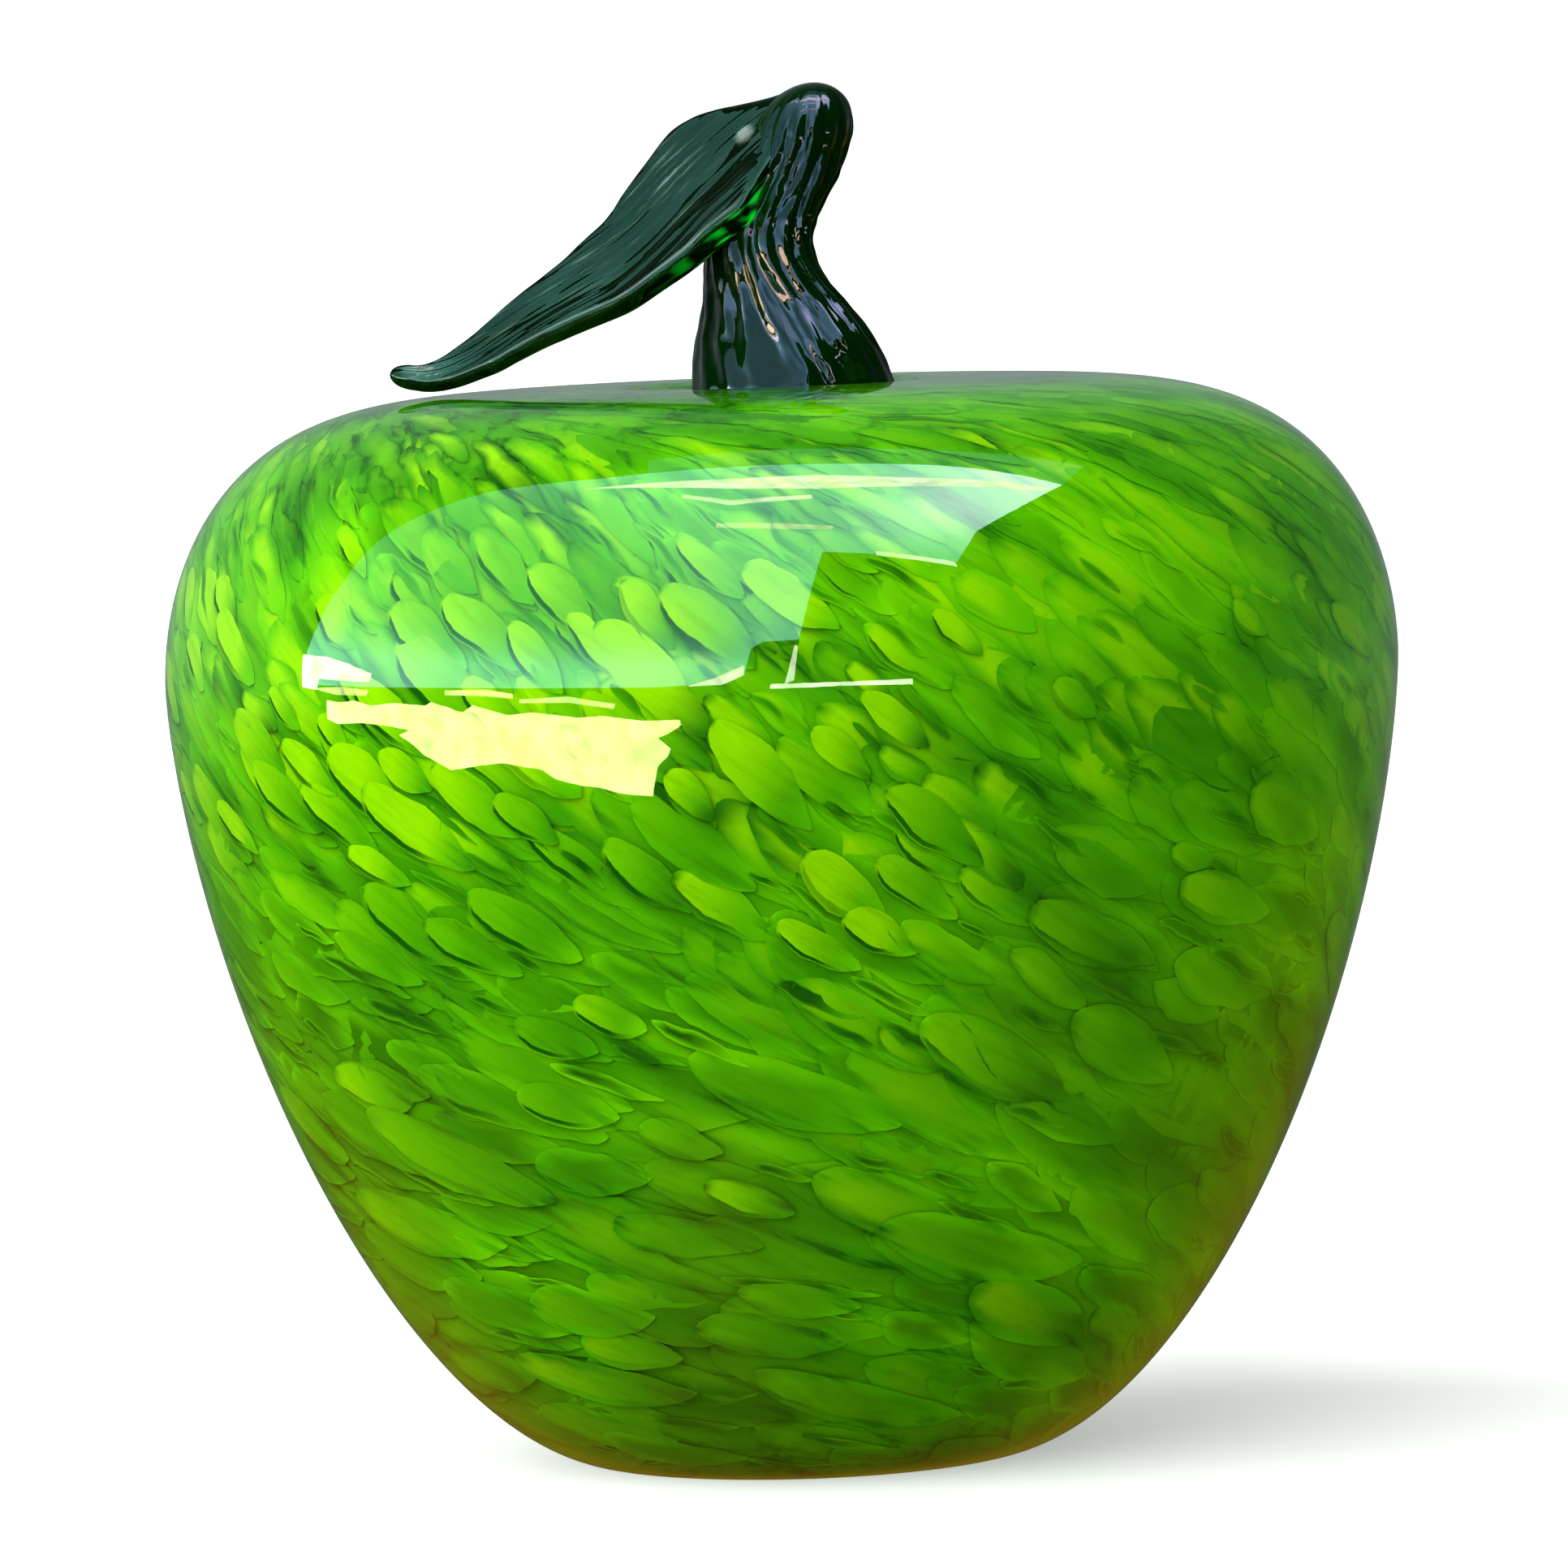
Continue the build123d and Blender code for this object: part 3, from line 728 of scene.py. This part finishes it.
# The dark gap along the lower edge of a crisp scale is partly painted shadow under that edge.
gap_run = calc(fr, "MULTIPLY", rise(fr, head_to_tail, 0.0, 0.12), rise(fr, head_to_tail, 0.95, 0.5))
some = rise(fr, calc(fr, "FRACT", calc(fr, "MULTIPLY", tone, 37.0)), 0.25, 0.5)
gap_and_shadow_here = calc(fr, "MULTIPLY", gap_run, rise(fr, softness, 0.7, 0.35))
gap_and_shadow_here = calc(fr, "MULTIPLY", calc(fr, "MULTIPLY", gap_and_shadow_here, rise(fr, side, -0.66, -0.71)), some)
gap_and_shadow_green = blend(fr, rise(fr, side, -1.0, -0.86), under_scale, (0.006, 0.09, 0.002, 1))
scale_green = blend(fr, gap_and_shadow_here, scale_green, gap_and_shadow_green)

wide_blur = rise(fr, softness, 0.3, 0.6, 0.0, 0.9)
soft_side = rise(fr, calc(fr, "ABSOLUTE", side), calc(fr, "SUBTRACT", 0.995, wide_blur), 1.0)
soft_side = calc(fr, "MULTIPLY", soft_side, calc(fr, "MULTIPLY", wide_blur, 4.0, clamp=True))
soft_tail = rise(fr, head_to_tail, calc(fr, "MULTIPLY_ADD", softness, -0.5, 0.62), 1.0)
soft_head = rise(fr, head_to_tail, calc(fr, "MULTIPLY", softness, 0.3), 0.0)
melted = calc(fr, "MAXIMUM", soft_tail, calc(fr, "MAXIMUM", soft_head, soft_side))
melted = calc(fr, "MAXIMUM", melted, calc(fr, "MULTIPLY", frit_right, 0.5))
scale_green = blend(fr, melted, scale_green, under_scale)
scale_skin = put(fr, "ShaderNodeBsdfPrincipled", {
    "Base Color": scale_green, "Roughness": 0.5, "Specular IOR Level": 0.0})
fr.links.new(scale_skin.outputs[0], fr_out.inputs[0])


def frit_bed(name, **sizes):
    """One bed of scales scattered over the outer face of the wash."""
    bed = turned(name + "_bed", wash_outer, 260, 240, wash)
    strewn = bed.modifiers.new("scatter", "NODES")
    strewn.node_group = scatter
    for label, value in sizes.items():
        strewn[frit_inputs[label.replace("_", " ")].identifier] = value
    strewn[frit_inputs["Finish"].identifier] = frit
    made = add_mesh(name, settled(name, bed))
    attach(made, "root")
    faces = len(made.data.polygons)
    print(name, faces // SCALE_FACES, "scales,", faces, "faces")


frit_bed("frit_under", Spacing=4.6 * MM, Length=18.0 * MM, Width=6.0 * MM, Wobble=2.2 * MM,
         Depth_low=0.30 * MM, Depth_high=0.36 * MM, Tone_low=0.10, Tone_high=1.0, Softness=0.85,
         Patchiness=0.0, Thinning=0.0, Seed=7)
frit_bed("frit_middle", Spacing=4.8 * MM, Length=11.5 * MM, Width=4.4 * MM, Wobble=2.0 * MM,
         Depth_low=0.62 * MM, Depth_high=0.72 * MM, Tone_low=0.28, Tone_high=1.0, Softness=0.42,
         Patchiness=0.6, Thinning=0.75, Seed=23)
frit_bed("frit_dark", Spacing=5.6 * MM, Length=7.0 * MM, Width=1.1 * MM, Wobble=2.0 * MM,
         Depth_low=0.80 * MM, Depth_high=0.84 * MM, Tone_low=-0.35, Tone_high=0.10, Softness=0.5,
         Patchiness=0.5, Thinning=0.55, Seed=31)
frit_bed("frit_over", Spacing=5.8 * MM, Length=11.5 * MM, Width=4.6 * MM, Wobble=1.6 * MM,
         Depth_low=0.95 * MM, Depth_high=1.10 * MM, Tone_low=0.55, Tone_high=1.18, Softness=0.15,
         Patchiness=0.85, Thinning=0.92, Seed=11)

# %% [markdown]
# The stem and the leaf are bits of dark green glass, put on hot and drawn with jacks. They look black
# where they are thick, and green where light comes through a thin edge, so the colour is in the glass
# and not on it: a clear skin with an absorbing volume inside. Along the near edge of the leaf, where it
# leaves the stem, a painted emerald glow, a bright colour with a little emission, stands for light
# coming through the glass there. Pale lines in its face are painted reflections, with a painted
# highlight along its near edge and a painted glint near the root. Both come from values that the leaf
# stores on its points.

# %% Dark green glass
def dark_green(name, mirror_tint, milk):
    """Dark green glass whose gloss has this tint, with a share of milk in it."""
    made, dg, dg_out = finish_named(name)
    seeds = cloudy(dg, own_point(dg), 300.0)
    tint = ramp(dg, seeds, (0.3, (0.005, 0.11, 0.008)), (0.7, (0.008, 0.16, 0.014)))
    painted_highlight_line = stored(dg, "pale")
    painted_emerald_glow = stored(dg, "painted_emerald_glow")
    # The pale values are painted reflections and highlights, mixed into the colour.
    tint = blend(dg, painted_highlight_line, tint, (0.46, 0.56, 0.54, 1))
    clouded = calc(dg, "MAXIMUM", painted_emerald_glow, calc(dg, "MULTIPLY_ADD", painted_highlight_line, 0.40, milk))
    # Where the painted emerald glow is, the glass turns opaque bright green with a little emission.
    skin = put(dg, "ShaderNodeBsdfPrincipled", {
        "Base Color": blend(dg, painted_emerald_glow, tint, (0.001, 0.80, 0.03, 1)), "Roughness": 0.02,
        "Transmission Weight": calc(dg, "SUBTRACT", 1.0, clouded), "IOR": SODA_GLASS,
        "Specular Tint": (*mirror_tint, 1), "Emission Strength": 0.5,
        "Emission Color": blend(dg, painted_emerald_glow, (0, 0, 0, 1), (0.001, 0.75, 0.02, 1))})
    depth = put(dg, "ShaderNodeVolumeAbsorption", {"Color": (0.0, 0.56, 0.46, 1), "Density": 2600.0})
    dg.links.new(skin.outputs[0], dg_out.inputs["Surface"])
    dg.links.new(depth.outputs[0], dg_out.inputs["Volume"])
    return made


stem_finish = dark_green("dark_green_glass", (0.60, 0.42, 0.80), 0.10)
leaf_finish = dark_green("dark_green_leaf_glass", (0.62, 0.85, 0.78), 0.03)

# %% [markdown]
# The stem was pulled up from a hot bit, so its flutes run up it, wander and fade at the knob. A loft
# would give even flutes, so the sides are built ring by ring: smooth curves give each ring its place
# and size, and a wave with a little noise in it gives the flutes. Each ring is also slanted a little in
# depth, as if the hot bit had been twisted while it was drawn.

# %% Curves through a few points
def held(value):
    """The value, kept between 0 and 1."""
    return min(1.0, max(0.0, value))


def curve_through(knots, values):
    """A natural cubic curve through values at knots, as a function."""
    k, v = np.array(knots, float), np.array(values, float)
    gap = np.diff(k)
    slope = np.diff(v) / gap
    left, right = np.eye(len(k)), np.zeros(len(k))
    for i in range(1, len(k) - 1):
        left[i, i - 1:i + 2] = gap[i - 1], 2 * (gap[i - 1] + gap[i]), gap[i]
        right[i] = 6 * (slope[i] - slope[i - 1])
    bend = np.linalg.solve(left, right)

    def at(t):
        i = int(np.clip(np.searchsorted(k, t) - 1, 0, len(k) - 2))
        a, b = (k[i + 1] - t) / gap[i], (t - k[i]) / gap[i]
        return float(a * v[i] + b * v[i + 1]
                     + ((a ** 3 - a) * bend[i] + (b ** 3 - b) * bend[i + 1]) * gap[i] ** 2 / 6)
    return at


def skin_over(name, rings, material, first, last):
    """A closed mesh through rings of as many points each, in mm, with a point to close each end."""
    count = len(rings[0])
    points = [Vector(p) * MM for ring in rings for p in ring]
    faces = []
    for i in range(len(rings) - 1):
        for j in range(count):
            a, b = i * count + j, i * count + (j + 1) % count
            faces.append((a, b, b + count, a + count))
    for end, ring in ((first, 0), (last, len(rings) - 1)):
        points.append(Vector(end) * MM)
        faces += [(len(points) - 1, ring * count + j, ring * count + (j + 1) % count) for j in range(count)]
    mesh = bpy.data.meshes.new(name)
    mesh.from_pydata(points, [], faces)
    shape = bmesh.new()
    shape.from_mesh(mesh)
    bmesh.ops.recalc_face_normals(shape, faces=shape.faces)
    shape.to_mesh(mesh)
    shape.free()
    mesh.shade_smooth()
    mesh.materials.append(material)
    made = add_mesh(name, mesh)
    print(name, len(mesh.polygons), "faces")
    return made


# %% Stem
FOOT_BURIED = 2.3
FOOT_PLACE = 2.45
KNOB_HEIGHT = 26.7
KNOB_PLACE = 4.1
KNOB_RADIUS = 5.5
KNOB_LEAN = 1.5
STEM_HEIGHT = 32.5
STEM_HEIGHTS = (-FOOT_BURIED, 4.9, 8.4, 12.9, 18.0, 22.2, KNOB_HEIGHT)
stem_place = curve_through(STEM_HEIGHTS, (FOOT_PLACE, 1.45, 0.6, -0.75, -0.2, 2.0, KNOB_PLACE))
stem_half_width = curve_through(STEM_HEIGHTS, (11.4, 9.6, 7.9, 6.1, 5.7, 5.8, KNOB_RADIUS))
stem_half_depth = curve_through(STEM_HEIGHTS, (10.2, 8.2, 6.8, 6.1, 5.7, 5.8, KNOB_RADIUS))
FLUTES = 17
FLUTE_DEPTH = 0.30
FLUTE_TURN = math.radians(1.2)
CREASE_DEPTH = 0.16
KNOB_CREASE_DEPTH = 0.12
STEM_SLANT = 0.45
STEM_COLUMNS = FLUTES * 12
STEM_ROWS, DOME_ROWS = 120, 24


def flute(angle, height):
    """How far the side of the stem stands out at this angle and height, in mm."""
    turn = angle + FLUTE_TURN * height

    def round_noise(radius, up):
        return noise.noise(Vector((radius * math.cos(turn), radius * math.sin(turn), up)))

    ridge = math.cos(FLUTES * turn + 2.0 * round_noise(2, 0.16 * height))
    weight = 0.8 + 0.5 * round_noise(1.7, 0.08 * height + 5)
    crease = round_noise(12, 0.5 * height + 9)
    fade = held((STEM_HEIGHT - height) / 11.0) * min(1.0, 0.45 + max(0.0, height) / 11.0)
    near_knob = held((height - 14.0) / 8.0)
    return fade * (FLUTE_DEPTH * weight * ridge + (CREASE_DEPTH + KNOB_CREASE_DEPTH * near_knob) * crease)


def stem_ring(height, place, half_width, half_depth):
    """A ring of the stem at this height above the crest."""
    ring = []
    slant = STEM_SLANT * min(1.0, max(0.4, 0.4 + height / 8.0)) * held((25.0 - height) / 7.0)
    for j in range(STEM_COLUMNS):
        angle = 2 * math.pi * j / STEM_COLUMNS
        out = flute(angle, height) * min(1.0, half_width / 4.0)
        right = (half_width + out) * math.cos(angle)
        back = (half_depth + out) * math.sin(angle) - slant * right
        ring.append((place + right, back, CREST_HEIGHT + height))
    return ring


stem_rings = []
for i in range(STEM_ROWS + 1):
    height = -FOOT_BURIED + (KNOB_HEIGHT + FOOT_BURIED) * i / STEM_ROWS
    stem_rings.append(stem_ring(
        height, stem_place(height), stem_half_width(height), stem_half_depth(height)))
for i in range(1, DOME_ROWS):
    rise_angle = math.pi / 2 * i / DOME_ROWS
    height = KNOB_HEIGHT + (STEM_HEIGHT - KNOB_HEIGHT) * math.sin(rise_angle)
    size = KNOB_RADIUS * math.cos(rise_angle)
    stem_rings.append(stem_ring(height, KNOB_PLACE + KNOB_LEAN * math.sin(rise_angle), size, size))
stem = skin_over("stem_glass", stem_rings, stem_finish, (FOOT_PLACE, 0, CREST_HEIGHT - FOOT_BURIED),
                 (KNOB_PLACE + KNOB_LEAN, 0, CREST_HEIGHT + STEM_HEIGHT))
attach(stem, "root")
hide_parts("stem")

# %% [markdown]
# The leaf is a second bit, pressed and drawn out from the knob to a blunt, upturned tip. It follows a
# curved run. Its sections are flat, rounded and cupped, and tilted toward the viewer, as in the CAD
# model. Fine ridges along the upper face are marks of the draw. Pale lines there are painted
# reflections, and a spot near the root is a painted glint.

# %% Leaf
LEAF_RUN = ((-4.0, 26.9), (5.1, 22.8), (13.4, 15.1), (26.8, 6.9), (38.0, 1.9), (41.6, 2.4))
LEAF_TILT = math.radians(45)
LEAF_CUP = 2.0
LEAF_WIDEST = 0.21
LEAF_TIP_START = 0.95
LEAF_TAPER = 1.04
ROOT_HALF_WIDTH, ROOT_HALF_THICKNESS = 4.0, 4.2
TIP_HALF_WIDTH, TIP_HALF_THICKNESS = 1.3, 1.1
BLADE_WIDTH_GAIN, BLADE_THICKNESS_GAIN = 6.8, 1.4
LEAF_SECTIONS, TIP_SECTIONS = 120, 12
LEAF_COLUMNS = 240
LEAF_STEP = 0.004
steps_along = [0.0]
for (x0, z0), (x1, z1) in zip(LEAF_RUN, LEAF_RUN[1:]):
    steps_along.append(steps_along[-1] + math.hypot(x1 - x0, z1 - z0))
steps_along = [step / steps_along[-1] for step in steps_along]
leaf_left = curve_through(steps_along, [p[0] for p in LEAF_RUN])
leaf_high = curve_through(steps_along, [p[1] for p in LEAF_RUN])


def leaf_point(share):
    """The middle of the leaf at this share of its run, in mm."""
    return Vector((-leaf_left(share), 0.0, CREST_HEIGHT + leaf_high(share)))


def swirl_at(across, layer, along):
    """A noise at a place on the leaf, each layer of it unlike the others."""
    return noise.noise(Vector((across, layer, along)))


def leaf_look(share, angle, w, side, lines):
    """How much painted reflection, highlight and emerald glow a point of the leaf has, from 0 to 1."""
    c, s = math.cos(angle), math.sin(angle)
    # Pale streaks in the upper face: painted reflections.
    painted_streak = swirl_at(w * 2.4, 20.0, share * 6.0) + 0.4 * swirl_at(w * 5.0, 30.0, share * 16.0)
    window = held((share - 0.12) * 8.0) * held((0.9 - share) * 6.0)
    upper = max(0.0, s) ** 0.2 * held(0.75 - side)
    # A painted highlight along the near edge.
    painted_rim_highlight = max(0.0, 1.0 - abs(side - 0.88) / 0.07) * (s > 0) * held((share - 0.1) * 6.0)
    # A painted glint near the root.
    spot = max(0.0, 1.0 - ((share - 0.10) / 0.026) ** 2 - ((side + 0.1) / 0.2) ** 2) * (s > 0)
    spot *= 3.0 * min(1.0, max(0.3, 0.6 + lines))
    pale = min(1.0, max(0.0, (painted_streak - 0.26) * 1.9) * window * upper + 0.9 * painted_rim_highlight + spot)
    along_edge = held((share - 0.07) * 16.0) * held((0.46 - share) * 5.0)
    # Flecks of painted emerald glow along the near edge, close to the root.
    painted_glow_fleck = swirl_at(angle * 9.0, 40.0, share * 20.0) + 0.35 * max(0.0, 1.0 - abs(share - 0.18) / 0.06)
    edge_band = (c > 0) * max(0.0, 1.0 - abs(s + 0.1) / 0.5)
    return pale, held(2.5 * (painted_glow_fleck - 0.1)) * along_edge * edge_band


def leaf_ring(share, size):
    """A cupped section of the leaf at this share of its run. The look of each point goes into a list."""
    step = min(share / LEAF_WIDEST, 1.0)
    swell = step * step * (3 - 2 * step)
    blade = held((LEAF_TIP_START - share) / (LEAF_TIP_START - LEAF_WIDEST)) ** LEAF_TAPER
    blade_width = TIP_HALF_WIDTH + BLADE_WIDTH_GAIN * blade
    blade_thickness = TIP_HALF_THICKNESS + BLADE_THICKNESS_GAIN * blade
    half_width = size * (ROOT_HALF_WIDTH + (blade_width - ROOT_HALF_WIDTH) * swell)
    half_thick = size * (ROOT_HALF_THICKNESS + (blade_thickness - ROOT_HALF_THICKNESS) * swell)
    cup = LEAF_CUP * swell * blade
    way = (leaf_point(min(share + LEAF_STEP, 1.0)) - leaf_point(max(share - LEAF_STEP, 0.0))).normalized()
    toward = Vector((0, -1, 0))
    above = way.cross(toward)
    wide_way = toward * math.cos(LEAF_TILT) - above * math.sin(LEAF_TILT)
    thick_way = way.cross(wide_way)
    ring = []
    for j in range(LEAF_COLUMNS):
        angle = 2 * math.pi * j / LEAF_COLUMNS
        c, s = math.cos(angle), math.sin(angle)
        side = math.copysign(abs(c) ** 0.7, c)
        face = math.copysign(abs(s) ** 0.4, s)
        w = half_width * side
        lines = swirl_at(w * 1.5, 4.0, share * 4.0) + 0.6 * swirl_at(w * 3.0, 8.0, share * 9.0)
        marks = abs(face) * (0.13 * lines + 0.25 * swirl_at(w * 0.35, 12.0, share * 5.0))
        h = half_thick * face + size * (cup * (side ** 2 - 0.8) + swell * marks)
        w += 0.4 * size * swell * swirl_at(share * 9.0, 2.0 + math.copysign(3.0, c), 0.0) * abs(side)
        ring.append(tuple(leaf_point(share) + wide_way * w + thick_way * h))
        leaf_looks.append(leaf_look(share, angle, w, side, lines))
    return ring


leaf_looks = []
leaf_rings = [leaf_ring(LEAF_TIP_START * i / LEAF_SECTIONS, 1.0) for i in range(LEAF_SECTIONS + 1)]
for i in range(1, TIP_SECTIONS):
    end = math.pi / 2 * i / TIP_SECTIONS
    leaf_rings.append(leaf_ring(LEAF_TIP_START + (1 - LEAF_TIP_START) * math.sin(end), math.cos(end)))
leaf = skin_over("leaf_glass", leaf_rings, leaf_finish, tuple(leaf_point(0.0)), tuple(leaf_point(1.0)))
leaf_looks += [(0.0, 0.0)] * 2
# The pale values are painted reflections and highlights; the other values are the painted emerald glow.
for place, label in enumerate(("pale", "painted_emerald_glow")):
    values = [look[place] for look in leaf_looks]
    leaf.data.attributes.new(label, "FLOAT", "POINT").data.foreach_set("value", values)
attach(leaf, "root")
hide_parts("leaf")

# %% [markdown]
# The inner bubble is clear glass that the colour hides. It stays as the CAD model has it.

# %% Inner glass
inner_glass, ig, ig_out = finish_named("inner_glass")
inner_tint = ramp(ig, cloudy(ig, own_point(ig), 60.0), (0.3, (0.85, 0.95, 0.86)), (0.7, (0.92, 0.98, 0.92)))
inner_skin = put(ig, "ShaderNodeBsdfPrincipled", {
    "Base Color": inner_tint, "Roughness": 0.05, "IOR": SODA_GLASS, "Transmission Weight": 1.0})
ig.links.new(inner_skin.outputs[0], ig_out.inputs[0])
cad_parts["inner_bubble"].data.materials.clear()
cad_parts["inner_bubble"].data.materials.append(inner_glass)
